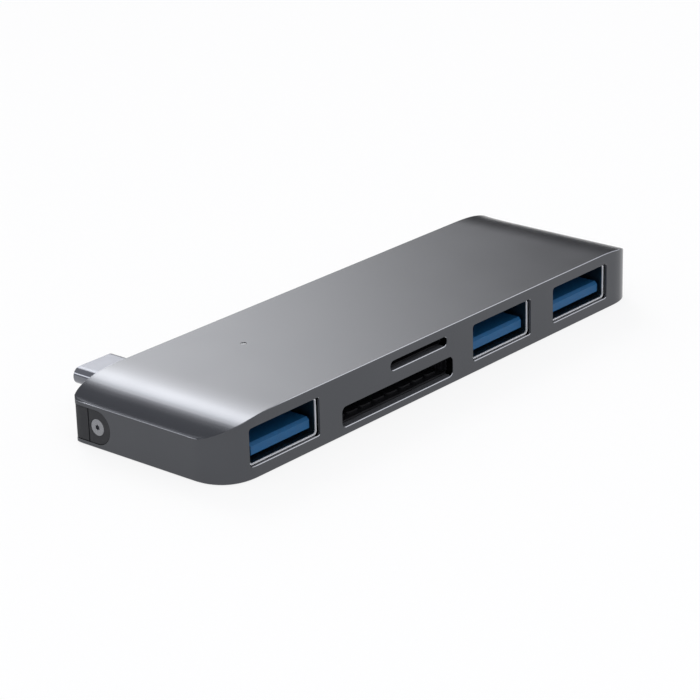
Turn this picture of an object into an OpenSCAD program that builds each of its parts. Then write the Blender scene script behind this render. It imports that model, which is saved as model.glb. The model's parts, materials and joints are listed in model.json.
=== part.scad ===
// Slim USB-C hub with three USB-A sockets, an SD slot and a microSD slot along one side.
// The USB-C plug sits on a carrier that slides out of the back-left corner and is clamped
// by a small screw on the left end. All sizes are millimetres.
// Construction frame: x from the left end, y from the port face, z from the resting face.

/* [Row of ports] */
// Left end to the opening of the first USB-A socket
left_margin = 4.7; // [4.2:0.1:6]
// Space between the first USB-A opening and the SD slot
gap_1 = 4.65; // [4.2:0.05:8]
// Space between the SD slot and the second USB-A opening
gap_2 = 4.75; // [4.2:0.05:8]
// Space between the second and the third USB-A opening
gap_3 = 5.6; // [2:0.05:10]
// Opening of the third USB-A socket to the right end
right_margin = 8.2; // [7.8:0.1:14]

/* [Body] */
// Height of the end walls above the pocket for the plug carrier
end_rise = 0.55; // [0.4:0.05:0.8]
// Length over which the top curves down at each end
cap_run = 10.6; // [9:0.1:14]
// Thickness of the side and end walls
wall_t = 1.2; // [0.9:0.05:1.3]
// Thickness of the flat top
top_t = 0.9; // [0.6:0.05:1]
// Reach of the soft plan corners on the port side
front_corner = 6.4; // [4:0.1:8]
// Reach of the tight plan corners on the plug side, along the ends
back_corner = 1.5; // [1:0.1:2.5]
// Reach of the tight plan corners on the plug side, along the back
back_corner_in = 0.4; // [0.2:0.05:0.8]
// Chamfer along the upper long edges
edge_chamfer = 0.2; // [0.1:0.05:0.4]
// Bright chamfer around the lower edge of each port
port_chamfer = 0.15; // [0.05:0.05:0.25]

/* [Base plate] */
// Thickness of the base plate, and height of the sill under the plug pocket
cover_t = 0.6; // [0.5:0.05:0.8]
// Width of the rim of the housing around the base plate
rim_w = 0.6; // [0.4:0.05:0.8]
// Width of each snap lug
lug_w = 3; // [2:0.1:4]
// Height of the snap lugs above the base plate
lug_h = 2.2; // [1.8:0.1:2.6]
// Outer diameter of the posts that carry the main board
post_d = 2.8; // [2.4:0.1:3.2]

/* [Main board] */
// Thickness of the main board
board_t = 0.8; // [0.6:0.05:1]
// Thread diameter of the board screws
board_screw_d = 1.6; // [1.4:0.1:1.8]
// Width of the board between the first socket and the bay of the plug carrier
bridge_w = 3.1; // [2.6:0.1:6]

/* [USB-A sockets] */
// Width of the openings in the port face
usb_cut_w = 14; // [13.8:0.1:14.8]
// Height of the openings in the port face
usb_cut_h = 5.55; // [5.5:0.05:6]
// Depth of the socket mouth behind the port face
usb_recess = 0.5; // [0.3:0.05:0.9]
// Length of the socket shells
usb_len = 14; // [13:0.1:16]
// Thickness of the shell sheet
sheet_t = 0.2; // [0.15:0.05:0.3]
// Distance of the middle of the sockets below the underside of the main board
usb_sink = 0.45; // [0.3:0.05:0.6]
// Width of the blue tongue
tongue_w = 11.7; // [10.8:0.1:12.2]
// Thickness of the blue tongue
tongue_t = 1.7; // [1.5:0.05:1.9]
// Height of the underside of the tongue above the shell floor
tongue_lift = 0.85; // [0.7:0.05:1]

/* [Card slots] */
// Width of the SD slot
sd_w = 24.5; // [24.4:0.1:27]
// Height of the SD slot
sd_h = 3; // [2.8:0.05:3.3]
// Height of the SD slot above the base plate
sd_sill = 0.55; // [0.4:0.05:0.8]
// Free space between the SD socket and the back wall
sd_back_gap = 2.1; // [1.8:0.1:4]
// Distance of the middle of the microSD slot to the right of the middle of the SD slot
usd_offset = 4.6; // [-4:0.1:5.6]
// Width of the microSD slot
usd_w = 12.7; // [12.2:0.1:13.8]
// Height of the microSD slot
usd_h = 1.45; // [1.3:0.05:1.6]
// Height of the microSD slot above the main board
usd_lift = 0.35; // [0.3:0.05:0.5]
// Height of the flat top above the microSD slot
usd_cover = 1.4; // [1.3:0.05:2]
// Depth of the microSD socket behind the port wall
usd_depth = 14; // [12.6:0.1:15.4]

/* [Plug and its carrier] */
// Height of the middle of the plug above the base plate
plug_lift = 4.9; // [4.7:0.05:5]
// Width of the plug shell
plug_w = 8.34; // [8.25:0.01:8.4]
// Height of the plug shell
plug_h = 2.56; // [2.5:0.01:2.6]
// Length of plug that stands out of the body
plug_out = 7.3; // [6.65:0.05:8]
// Width of the board that the plug is soldered to
plug_board_w = 11; // [10.6:0.1:12]
// Travel of the carrier out of the body
carrier_travel = 2.5; // [1:0.1:3]
// Height of the pocket in the left end
pocket_h = 5; // [4.6:0.05:5.4]
// Distance of the seam between clamp plate and carrier from the plug face
seam_inset = 2.85; // [2.5:0.05:3.2]
// Room between main board and carrier for the loop of the ribbon
flex_room = 1.85; // [1.7:0.05:3]
// Diameter of the clamp screw head
lock_head_d = 2.4; // [2.2:0.1:2.8]
// Thread diameter of the clamp screw
lock_d = 1.6; // [1.4:0.1:1.7]
// Width across the flats of the square nut
nut_w = 3; // [2.8:0.1:3.2]

/* [Indicator] */
// Left end to the indicator hole
led_x = 24.4; // [22:0.1:27]
// Port face to the indicator hole
led_y = 19; // [17.2:0.1:21]
// Diameter of the indicator hole
led_hole_d = 0.9; // [0.7:0.05:1.2]

/* [Fits] */
// Gap around pieces that drop into the housing
fit_gap = 0.08; // [0.05:0.01:0.12]
// Running gap of sliding pieces
slide_gap = 0.1; // [0.08:0.01:0.15]
// Radial clearance of screws in their holes
screw_gap = 0.06; // [0.03:0.01:0.1]

/* [Hidden] */

// ---- Derived sizes ----
// Along the row of ports: the openings and the spaces between them set the length of the body
usb_1_x = left_margin + usb_cut_w / 2;
sd_x = usb_1_x + usb_cut_w / 2 + gap_1 + sd_w / 2;
usb_2_x = sd_x + sd_w / 2 + gap_2 + usb_cut_w / 2;
usb_3_x = usb_2_x + usb_cut_w + gap_3;
hub_l = usb_3_x + usb_cut_w / 2 + right_margin;
usb_xs = [usb_1_x, usb_2_x, usb_3_x];
usd_x = sd_x + usd_offset;

// From the port face to the plug face: socket, bridge, ribbon, carrier and its nose set the width
nut_play = 0.3;
usb_back = usb_recess + usb_len;
carrier_bay_y = usb_back + bridge_w;
tray_y0 = carrier_bay_y + flex_room;
seam_y = tray_y0 + carrier_travel + nut_w + 2 * nut_play;
hub_w = seam_y + seam_inset;
lock_y = seam_y - nut_w / 2 - 0.05;
inner_y1 = hub_w - wall_t;

// Upwards: SD slot, main board and microSD slot set the height
sd_z = cover_t + sd_sill;
board_z = sd_z + sd_h + 0.85;
board_top = board_z + board_t;
usd_z = board_top + usd_lift;
hub_h = usd_z + usd_h + usd_cover;
usb_z = board_z - usb_sink;
end_h = cover_t + pocket_h + end_rise;
ceiling_z = hub_h - top_t;
ceiling_end_z = end_h - 0.4;
lock_z = cover_t + pocket_h / 2;
plug_z = cover_t + plug_lift;
face_recess = 0.05;

// USB-A shell and tongue
shell_w = usb_cut_w - 0.4;
shell_h = usb_cut_h - 0.1;
shell_in_w = shell_w - 2 * sheet_t;
shell_in_h = shell_h - 2 * sheet_t;
shell_floor = usb_z - shell_in_h / 2;
tongue_z = shell_floor + tongue_lift;
tongue_y = usb_recess + 0.5;
tongue_root_y = usb_back - 3.2;
pin_t = 0.2;

// Carrier, from the left end: clamp plate, rail, nut, tray with the plug in its middle
plate_flange_t = 0.8;
rail_x0 = wall_t + plate_flange_t + slide_gap;
rail_t = 1.2;
nut_t = 1.2;
nut_x0 = rail_x0 + rail_t + 0.03;
tray_x0 = nut_x0 + nut_t + 0.25;
tray_side = 0.82;
plug_pocket_w = plug_board_w + 2 * slide_gap;
plug_x = tray_x0 + tray_side + plug_pocket_w / 2;
tray_x1 = plug_x + plug_pocket_w / 2 + 1.4;
nose_x1 = tray_x1 + 0.4;
nose_step_x = 3.2;
nose_top = plug_z + plug_h / 2 + 0.6;
nose_r = 1.6;
plug_board_t = 0.8;
plug_board_z = plug_z - plug_board_t / 2;
plug_sheet = 0.25;
plug_root_y = seam_y - 1.2;
flex_w = 8;
flex_t = 0.15;
arc_steps = 10;

// Boards: the main board leaves the corner of the plug carrier free
board_gap = 0.25;
board_x0 = wall_t + 1.2;
carrier_bay_x = nose_x1 + 1;
post_y = usb_back - 6;
back_post_y = inner_y1 - 5;
end_post_x = hub_l - wall_t - 4.2;
end_post_y = inner_y1 - 9;
screw_spots = [
    [usb_1_x + usb_cut_w / 2 + gap_1 / 2, post_y],
    [usb_2_x - usb_cut_w / 2 - gap_2 / 2, post_y],
    [(usb_2_x + usb_3_x) / 2, back_post_y],
    [end_post_x, end_post_y]
];
post_bore_d = board_screw_d - 0.2;

// ---- Shared forms ----
// Moves a part from the construction frame to the frame with its origin under the middle
module in_frame() { translate([-hub_l / 2, -hub_w / 2, 0]) children(); }

// One soft corner as points on a superellipse, from [0, ry] to [rx, 0]
corner_steps = 12;
corner_power = 2.4;
function soft(a) = pow(max(a, 0), 2 / corner_power);
function soft_corner(rx, ry) = [for (i = [0:corner_steps])
    let (a = 90 * i / corner_steps) [rx * (1 - soft(cos(a))), ry * (1 - soft(sin(a)))]];
function flipped(pts) = [for (i = [len(pts) - 1:-1:0]) pts[i]];

// Plan outline of the body, moved inwards by inset
function plan(inset) = let (
    fr = max(front_corner - inset, 0.8),
    f = soft_corner(fr, fr),
    b = soft_corner(max(back_corner_in - inset, 0.15), max(back_corner - inset, 0.15)),
    x1 = hub_l - inset,
    y1 = hub_w - inset
) concat(
    [for (p = f) [inset + p[0], inset + p[1]]],
    [for (p = flipped(f)) [x1 - p[0], inset + p[1]]],
    [for (p = b) [x1 - p[0], y1 - p[1]]],
    [for (p = flipped(b)) [inset + p[0], y1 - p[1]]]
);

// Height of the cap at distance d from an end, between a low end and a flat top
cap_steps = 16;
function cap_z(d, low, high) = low + (high - low) * pow(1 - pow(1 - min(d / cap_run, 1), 2.73), 0.476);
// Distances from the end, closer together where the cap is steep
function cap_d(i) = cap_run * pow(i / cap_steps, 1.8);

// Side profile of the body between its ends, drawn in x and z
module side_profile(x_inset, bottom, low, high) {
    left = [for (i = [0:cap_steps]) [x_inset + cap_d(i), cap_z(cap_d(i), low, high)]];
    right = [for (p = flipped(left)) [hub_l - p[0], p[1]]];
    polygon(concat([[x_inset, bottom]], left, right, [[hub_l - x_inset, bottom]]));
}

// Stands a profile drawn in x and z upright between y0 and y1
module along_y(y0, y1) { translate([0, y1, 0]) rotate([90, 0, 0]) linear_extrude(y1 - y0) children(); }
// Stands a profile drawn in y and z upright between x0 and x1
module along_x(x0, x1) {
    translate([x0, 0, 0]) rotate([90, 0, 90]) linear_extrude(x1 - x0) children();
}

// Rectangle with round corners, centred
module round_rect(w, h, r) {
    union() {
        square([w - 2 * r, h], center = true);
        square([w, h - 2 * r], center = true);
        for (sx = [-1, 1]) for (sy = [-1, 1])
            translate([sx * (w / 2 - r), sy * (h / 2 - r)]) circle(r, $fn = 24);
    }
}

// Strip of even thickness along a bent line
function unit(v) = v / norm(v);
function normal_at(p, i) = let (
    a = p[max(i - 1, 0)], b = p[min(i + 1, len(p) - 1)], d = unit(b - a)
) [-d[1], d[0]];
module strip(path, t) {
    upper = [for (i = [0:len(path) - 1]) path[i] + normal_at(path, i) * t / 2];
    lower = [for (i = [len(path) - 1:-1:0]) path[i] - normal_at(path, i) * t / 2];
    polygon(concat(upper, lower));
}
// Points of an arc about c
function arc(c, r, a0, a1) = [for (i = [0:arc_steps])
    let (a = a0 + (a1 - a0) * i / arc_steps) c + r * [cos(a), sin(a)]];

// ---- Housing ----
module outer_form() {
    intersection() {
        linear_extrude(hub_h) polygon(plan(0));
        hull() {
            along_y(0, hub_w) side_profile(0, 0, end_h - edge_chamfer, hub_h - edge_chamfer);
            along_y(edge_chamfer, hub_w - edge_chamfer) side_profile(0, 0, end_h, hub_h);
        }
    }
}

module cavity() {
    intersection() {
        translate([0, 0, -1]) linear_extrude(hub_h + 1) polygon(plan(wall_t));
        along_y(0, hub_w) side_profile(wall_t, -1, ceiling_end_z, ceiling_z);
    }
    translate([0, 0, -1]) linear_extrude(1 + cover_t) polygon(plan(rim_w));
}

// Port opening with a chamfer along its lower edge, reaching in by depth
module port_cut(x, z, w, h, r, depth) {
    along_y(-1, depth) translate([x, z]) round_rect(w, h, r);
    translate([x - w / 2 + r, 0, z - h / 2]) rotate([0, 90, 0])
        linear_extrude(w - 2 * r) polygon([
            [-0.3, -0.01 - 1], [-0.3, port_chamfer], [0, port_chamfer], [port_chamfer, 0], [port_chamfer, -1]
        ]);
}

// Pocket for the plug carrier: a round-ended window in the left end
module end_window(gap, x1) {
    along_x(-1, x1) {
        translate([lock_y, lock_z]) circle(pocket_h / 2 - gap, $fn = 64);
        translate([lock_y, cover_t + gap]) square([hub_w - lock_y + 1, pocket_h - 2 * gap]);
    }
}

// Window in the back: low at the corner, higher around the plug
module back_window(gap, y0) {
    high_h = nose_top - cover_t - 2 * gap;
    along_y(y0, hub_w + 1) {
        translate([-1, cover_t + gap]) square([nose_step_x + 3, pocket_h - 2 * gap]);
        translate([(nose_step_x + nose_x1) / 2, cover_t + gap + high_h / 2])
            round_rect(nose_x1 - nose_step_x - 2 * gap, high_h, nose_r);
    }
}

lug_xs_front = [screw_spots[0][0], screw_spots[1][0], screw_spots[2][0]];
lug_xs_back = [hub_l * 0.27, hub_l * 0.5, hub_l * 0.73, hub_l * 0.92];
lug_t = 0.7;
lug_hook = 0.35;

// Side view of a snap lug that stands against a wall at y = 0, hook towards -y
module lug_profile(grow) {
    top = cover_t + lug_h;
    polygon([
        [fit_gap, cover_t - 0.1], [fit_gap, top - 1 - grow], [-lug_hook - grow, top - 0.7 - grow],
        [-lug_hook - grow, top - 0.5], [fit_gap, top + grow], [lug_t, top + grow], [lug_t, cover_t - 0.1]
    ]);
}

module lugs(grow) {
    for (x = lug_xs_front) translate([0, wall_t, 0])
        along_x(x - lug_w / 2 - grow, x + lug_w / 2 + grow) lug_profile(grow);
    for (x = lug_xs_back) translate([0, hub_w - wall_t, 0]) mirror([0, 1, 0])
        along_x(x - lug_w / 2 - grow, x + lug_w / 2 + grow) lug_profile(grow);
}

module housing() {
    color("dimgray") in_frame() difference() {
        outer_form();
        cavity();
        for (x = usb_xs) port_cut(x, usb_z, usb_cut_w, usb_cut_h, 0.45, wall_t + 1);
        port_cut(sd_x, sd_z + sd_h / 2, sd_w, sd_h, 0.8, wall_t + 1);
        port_cut(usd_x, usd_z + usd_h / 2, usd_w, usd_h, usd_h / 2 - 0.02, wall_t + 1);
        end_window(0, wall_t + 1);
        back_window(0, seam_y);
        lugs(0.06);
        translate([led_x, led_y, ceiling_z - 1]) cylinder(d = led_hole_d, h = top_t + 2, $fn = 32);
    }
}

// ---- Base plate ----
module bottom_cover() {
    color("gray") in_frame() difference() {
        union() {
            linear_extrude(cover_t) polygon(plan(rim_w + fit_gap));
            lugs(0);
            for (p = screw_spots) translate([p[0], p[1], 0]) cylinder(d = post_d, h = board_z, $fn = 32);
        }
        for (p = screw_spots) translate([p[0], p[1], cover_t])
            cylinder(d = post_bore_d, h = board_z, $fn = 24);
    }
}

// ---- Main board and what is soldered to it ----
ear_w = 1.1;
ear_ys = [3, 10];
ear_len = 2.4;
peg_t = 0.3;

module main_board() {
    color("darkgreen") in_frame() difference() {
        translate([0, 0, board_z]) linear_extrude(board_t) difference() {
            intersection() {
                polygon(plan(wall_t + board_gap));
                translate([board_x0, 0]) square([hub_l - 2 * board_x0, hub_w]);
            }
            for (x = usb_xs) translate([x - shell_w / 2 - 0.1, 0]) square([shell_w + 0.2, usb_back + 0.9]);
            translate([0, carrier_bay_y]) square([carrier_bay_x, hub_w]);
        }
        for (p = screw_spots) translate([p[0], p[1], board_z - 1])
            cylinder(d = board_screw_d + 0.2, h = board_t + 2, $fn = 24);
        for (x = usb_xs) shell_pegs(x, 0.08);
    }
}

module board_screws() {
    color("silver") in_frame() for (p = screw_spots) translate([p[0], p[1], board_top]) difference() {
        union() {
            cylinder(d = board_screw_d + 1, h = 0.55, $fn = 32);
            translate([0, 0, -3.2]) cylinder(d = post_bore_d - 0.06, h = 3.4, $fn = 24);
        }
        for (a = [0, 90]) rotate([0, 0, a]) translate([-0.55, -0.13, 0.25]) cube([1.1, 0.26, 1]);
    }
}

// ---- USB-A sockets ----
module shell_pegs(x, grow) {
    for (s = [-1, 1]) for (y = ear_ys)
        translate([x + s * (shell_w / 2 + ear_w - 0.3 - peg_t / 2), y + ear_len / 2, board_top - board_t / 2])
            cube([peg_t + 2 * grow, ear_len * 0.6 + 2 * grow, board_t + 0.4 + grow], center = true);
}

// Spring leaf cut from the shell: a window, and a strip that dips into the mouth
leaf_w = 1.8;
leaf_y = usb_recess + 2;
leaf_len = 6;
leaf_dip = 0.35;
module leaf_path_strip() {
    strip([
        [leaf_y + leaf_len + 0.1, 0], [leaf_y + leaf_len - 1, 0],
        [leaf_y + 1.6, -leaf_dip], [leaf_y + 0.9, -leaf_dip], [leaf_y + 0.3, -leaf_dip * 0.3]
    ], sheet_t * 0.8);
}

module usb_a_shell(x) {
    color("silver") in_frame() {
        translate([x, 0, usb_z]) {
            difference() {
                along_y(usb_recess, usb_back) round_rect(shell_w, shell_h, 0.6);
                along_y(usb_recess - 1, usb_back - sheet_t) round_rect(shell_in_w, shell_in_h, 0.4);
                // Windows of the spring leaves, and the way out for the contact tails
                for (sx = [-1, 1]) translate([sx * 3 - leaf_w / 2 - 0.2, leaf_y, -shell_h])
                    cube([leaf_w + 0.4, leaf_len, 2 * shell_h]);
                translate([-5.3, usb_back - 1, tongue_z - usb_z - 0.3]) cube([10.6, 2, tongue_t + 0.9]);
            }
            for (sx = [-1, 1]) for (sz = [0, 1]) mirror([0, 0, sz]) translate([0, 0, (shell_h - sheet_t) / 2])
                along_x(sx * 3 - leaf_w / 2, sx * 3 + leaf_w / 2) leaf_path_strip();
        }
        for (s = [-1, 1]) for (y = ear_ys)
            translate([x + s * (shell_w / 2 + ear_w / 2 - 0.1), y + ear_len / 2, board_top + sheet_t / 2])
                cube([ear_w + 0.2, ear_len, sheet_t], center = true);
        shell_pegs(x, 0);
    }
}

// Places of the nine contacts across the tongue: wide ones for power and data, narrow ones between
wide_xs = [-3.4, -1.1, 1.1, 3.4];
narrow_xs = [-4.6, -2.25, 0, 2.25, 4.6];
wide_pin = 0.9;
narrow_pin = 0.4;
wide_pin_y = tongue_y + 4.4;
narrow_pin_y = tongue_y + 5.4;
pin_proud = 0.06;
tongue_top = tongue_z + tongue_t;
pin_z = tongue_top + pin_proud - pin_t / 2;

// Lead-in along the upper front edge of the tongue
tongue_lead = 0.4;
module usb_a_tongue(x) {
    soft_edge = 0.12;
    color([0.16, 0.33, 0.5]) in_frame() translate([x, 0, 0]) difference() {
        union() {
            along_x(-tongue_w / 2, tongue_w / 2) polygon([
                [tongue_y, tongue_z + soft_edge], [tongue_y, tongue_top - tongue_lead],
                [tongue_y + tongue_lead, tongue_top], [usb_back - 1, tongue_top],
                [usb_back - 1, tongue_z], [tongue_y + soft_edge, tongue_z]
            ]);
            translate([0, 0, usb_z]) along_y(tongue_root_y, usb_back - sheet_t)
                round_rect(shell_in_w - 0.06, shell_in_h - 0.06, 0.35);
        }
        for (p = wide_xs) pin_groove(p, wide_pin, wide_pin_y);
        for (p = narrow_xs) pin_groove(p, narrow_pin, narrow_pin_y);
    }
}

module pin_groove(p, w, y0) {
    translate([p - w / 2 - 0.03, y0 - 0.1, pin_z - pin_t / 2]) cube([w + 0.06, usb_len, pin_t + 0.02]);
}

module usb_a_contacts(x) {
    // Straight along the tongue, out at the back and up on to the main board
    tail_y = usb_back + 0.35;
    color("gold") in_frame() translate([x, 0, 0]) {
        for (p = wide_xs) contact_strip(p, wide_pin, wide_pin_y, tail_y);
        for (p = narrow_xs) contact_strip(p, narrow_pin, narrow_pin_y, tail_y);
    }
}

module contact_strip(p, w, y0, tail_y) {
    foot_z = board_top + pin_t / 2;
    along_x(p - w / 2, p + w / 2) strip([
        [y0, pin_z], [tail_y - 0.1, pin_z], [tail_y, pin_z + 0.1],
        [tail_y + 0.05, foot_z - 0.15], [tail_y + 0.2, foot_z], [tail_y + 1.4, foot_z]
    ], pin_t);
}

module usb_a_shell_1() { usb_a_shell(usb_1_x); }
module usb_a_shell_2() { usb_a_shell(usb_2_x); }
module usb_a_shell_3() { usb_a_shell(usb_3_x); }
module usb_a_tongue_1() { usb_a_tongue(usb_1_x); }
module usb_a_tongue_2() { usb_a_tongue(usb_2_x); }
module usb_a_tongue_3() { usb_a_tongue(usb_3_x); }
module usb_a_contacts_1() { usb_a_contacts(usb_1_x); }
module usb_a_contacts_2() { usb_a_contacts(usb_2_x); }
module usb_a_contacts_3() { usb_a_contacts(usb_3_x); }

// ---- SD socket, hung under the main board ----
card_sheet = 0.2;
sd_y0 = wall_t + 0.05;
sd_y1 = inner_y1 - sd_back_gap;
sd_card_w = sd_w - 0.2;
sd_half = sd_w / 2 + 0.35;
sd_floor_t = 0.3;
sd_floor = sd_z + sd_floor_t;
sd_roof = board_z - card_sheet;
sd_pitch = 2.5;
sd_pins = 9;
sd_pin_w = 0.9;
function sd_pin_x(i) = (i - (sd_pins - 1) / 2) * sd_pitch - 0.6;
sd_ribs = 8;
sd_rib_pitch = 2.9;
sd_rib_w = 2.55;
sd_rib_h = 0.25;
sd_rib_y = wall_t + 1.1;
sd_rib_len = 3.9;
sd_pin_y = sd_rib_y + sd_rib_len + 0.8;
sd_channel_z = sd_floor - 0.12;

module sd_socket_base() {
    color([0.12, 0.12, 0.13]) in_frame() translate([sd_x, 0, 0]) difference() {
        union() {
            difference() {
                translate([-sd_half, sd_y0, sd_z]) cube([2 * sd_half, sd_y1 - sd_y0, sd_roof - sd_z]);
                // Card space, stepped twice behind the mouth
                translate([-sd_card_w / 2, 0, sd_floor]) cube([sd_card_w, wall_t + 0.9, hub_h]);
                translate([-sd_card_w / 2 + 0.15, 0, sd_floor]) cube([sd_card_w - 0.3, wall_t + 1.8, hub_h]);
                translate([-sd_card_w / 2 + 0.3, 0, sd_floor]) cube([sd_card_w - 0.6, sd_y1 - 1.2, hub_h]);
            }
            // Round-nosed ribs that lift the card off the floor
            for (i = [0:sd_ribs - 1]) translate([
                (i - (sd_ribs - 1) / 2) * sd_rib_pitch, sd_rib_y + sd_rib_len / 2, sd_floor - 0.1
            ]) linear_extrude(sd_rib_h + 0.1) round_rect(sd_rib_w, sd_rib_len, 0.6);
        }
        // Channels of the contacts, through the floor and out at the back
        for (i = [0:sd_pins - 1]) translate([sd_pin_x(i) - sd_pin_w / 2 - 0.05, 0, 0]) {
            translate([0, sd_pin_y - 0.3, sd_channel_z]) cube([sd_pin_w + 0.1, sd_y1, 0.6]);
            translate([0, sd_y1 - 1.4, sd_channel_z]) cube([sd_pin_w + 0.1, 3, hub_h]);
        }
    }
}

module sd_contacts() {
    spring_t = 0.14;
    z0 = sd_channel_z + spring_t / 2;
    foot_z = board_z - spring_t / 2;
    color("gold") in_frame() translate([sd_x, 0, 0]) for (i = [0:sd_pins - 1]) translate([sd_pin_x(i), 0, 0])
        along_x(-sd_pin_w / 2, sd_pin_w / 2) strip([
            [sd_pin_y, z0 + 0.35], [sd_pin_y + 0.4, z0 + 0.75], [sd_pin_y + 0.9, z0 + 0.75],
            [sd_pin_y + 4.9, z0], [sd_y1 - 0.4, z0], [sd_y1 - 0.2, z0 + 0.2],
            [sd_y1 - 0.15, foot_z - 0.15], [sd_y1, foot_z], [sd_y1 + 0.9, foot_z]
        ], spring_t);
}

// Thin metal lid over a card socket, with side walls, hold-down windows and solder ears
module sd_socket_shield() {
    out = sd_half + 0.02;
    color("silver") in_frame() translate([sd_x, 0, 0]) difference() {
        union() {
            translate([-out - card_sheet, sd_y0, sd_roof])
                cube([2 * (out + card_sheet), sd_y1 - 1.5 - sd_y0, card_sheet]);
            for (s = [-1, 1])
                translate([s * (out + card_sheet / 2), (sd_y0 + sd_y1 - 1.5) / 2, (sd_z + board_z) / 2])
                cube([card_sheet, sd_y1 - 1.5 - sd_y0, board_z - sd_z - 0.4], center = true);
            for (s = [-1, 1])
                translate([s * (out + card_sheet / 2), (sd_y0 + sd_y1 - 1.5) / 2, board_z - 0.4])
                cube([card_sheet, sd_y1 - 1.5 - sd_y0, 0.8], center = true);
        }
        for (s = [-1, 1]) translate([s * 6 - 1.5, wall_t + 6, 0]) cube([3, 8, hub_h]);
    }
}

// ---- microSD socket, on top of the main board ----
usd_y0 = wall_t + 0.05;
usd_y1 = wall_t + usd_depth;
usd_half = usd_w / 2 + 0.3;
usd_floor = usd_z + 0.2;
usd_roof = usd_floor + 1.1;
usd_pins = 8;
usd_pitch = 1.1;
usd_pin_w = 0.6;
function usd_pin_x(i) = (i - (usd_pins - 1) / 2) * usd_pitch;

module microsd_base() {
    color([0.12, 0.12, 0.13]) in_frame() translate([usd_x, 0, 0]) difference() {
        translate([-usd_half, usd_y0, board_top]) cube([2 * usd_half, usd_y1 - usd_y0, usd_roof - board_top]);
        translate([-usd_w / 2 + 0.2, 0, usd_floor]) cube([usd_w - 0.4, usd_y1 - 1, hub_h]);
        for (i = [0:usd_pins - 1]) translate([usd_pin_x(i) - usd_pin_w / 2 - 0.05, 0, 0]) {
            translate([0, wall_t + 4, board_top + 0.2])
                cube([usd_pin_w + 0.1, usd_y1, usd_floor - board_top]);
            translate([0, usd_y1 - 1.2, board_top - 0.1]) cube([usd_pin_w + 0.1, 3, hub_h]);
        }
    }
}

module microsd_contacts() {
    spring_t = 0.12;
    z0 = board_top + 0.2 + spring_t / 2;
    color("gold") in_frame() for (i = [0:usd_pins - 1]) translate([usd_x + usd_pin_x(i), 0, 0])
        along_x(-usd_pin_w / 2, usd_pin_w / 2) strip([
            [wall_t + 4.3, z0 + 0.55], [wall_t + 4.7, z0 + 0.8], [wall_t + 5.1, z0 + 0.8],
            [wall_t + 8.5, z0], [usd_y1 - 0.5, z0], [usd_y1 - 0.3, board_top + spring_t / 2],
            [usd_y1 + 0.8, board_top + spring_t / 2]
        ], spring_t);
}

module microsd_shield() {
    out = usd_half + 0.02;
    color("silver") in_frame() translate([usd_x, 0, 0]) difference() {
        union() {
            translate([-out - card_sheet, usd_y0, usd_roof])
                cube([2 * (out + card_sheet), usd_y1 - usd_y0 - 1.3, card_sheet]);
            for (s = [-1, 1])
                translate([s * (out + card_sheet / 2), (usd_y0 + usd_y1 - 1.3) / 2,
                           (board_top + usd_roof + card_sheet) / 2])
                cube([card_sheet, usd_y1 - usd_y0 - 1.3, usd_roof + card_sheet - board_top], center = true);
        }
        for (s = [-1, 1]) translate([s * 3 - 0.8, wall_t + 4, 0]) cube([1.6, 5, hub_h]);
    }
}

// ---- Plug, carrier and clamp ----
seam_gap = 0.2;
nose_y0 = seam_y + seam_gap;
tray_floor_t = 1.1;
tray_z0 = cover_t + 0.3;
stop_y1 = inner_y1 - carrier_travel - slide_gap;

module plug_form(w, h) {
    union() {
        square([w - h, h], center = true);
        for (s = [-1, 1]) translate([s * (w - h) / 2, 0]) circle(d = h, $fn = 48);
    }
}

module plug_carrier() {
    rail_z0 = lock_z - pocket_h / 2 + 0.25;
    rail_h = pocket_h - 0.5;
    under_w = plug_pocket_w - 2;
    color([0.26, 0.27, 0.29]) in_frame() difference() {
        union() {
            intersection() {
                linear_extrude(hub_h) polygon(plan(face_recess));
                back_window(slide_gap, nose_y0);
            }
            // Rail with the nut channel, and the tray that holds the plug board
            translate([rail_x0, tray_y0, rail_z0])
                cube([tray_x0 + 0.6 - rail_x0, nose_y0 + 0.3 - tray_y0, rail_h]);
            intersection() {
                translate([tray_x0, tray_y0, tray_z0])
                    cube([tray_x1 - tray_x0, nose_y0 + 0.3 - tray_y0, plug_z + 0.9 - tray_z0]);
                back_window(slide_gap, tray_y0);
            }
            translate([tray_x1 - 0.1, stop_y1 - 1, tray_z0 + 0.4])
                cube([nose_x1 + 0.7 - tray_x1, 1, plug_z + 0.5 - tray_z0 - 0.4]);
        }
        // Slot for the clamp screw and channel for its nut
        along_x(rail_x0 - 0.1, rail_x0 + rail_t + 0.1) {
            for (y = [lock_y - carrier_travel, lock_y])
                translate([y, lock_z]) circle(lock_d / 2 + 0.1, $fn = 32);
            translate([lock_y - carrier_travel, lock_z - lock_d / 2 - 0.1])
                square([carrier_travel, lock_d + 0.2]);
        }
        translate([rail_x0 + rail_t, lock_y - carrier_travel - nut_w / 2 - nut_play / 2,
                   lock_z - nut_w / 2 - slide_gap])
            cube([tray_x0 - rail_x0 - rail_t, carrier_travel + nut_w + nut_play, nut_w + 2 * slide_gap]);
        // Room for the plug board over two ledges, and for the ribbon under it
        translate([plug_x - plug_pocket_w / 2, tray_y0 - 1, plug_board_z])
            cube([plug_pocket_w, nose_y0 - tray_y0 + 1, hub_h]);
        translate([plug_x - under_w / 2, tray_y0 - 1, tray_z0 + tray_floor_t])
            cube([under_w, nose_y0 - tray_y0 + 1, hub_h]);
        translate([plug_x - under_w / 2, tray_y0 - 1, 0]) cube([under_w, 2, hub_h]);
        translate([plug_x, 0, plug_z])
            along_y(nose_y0 - 1, hub_w + 1) plug_form(plug_w + 0.06, plug_h + 0.06);
    }
}

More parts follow.
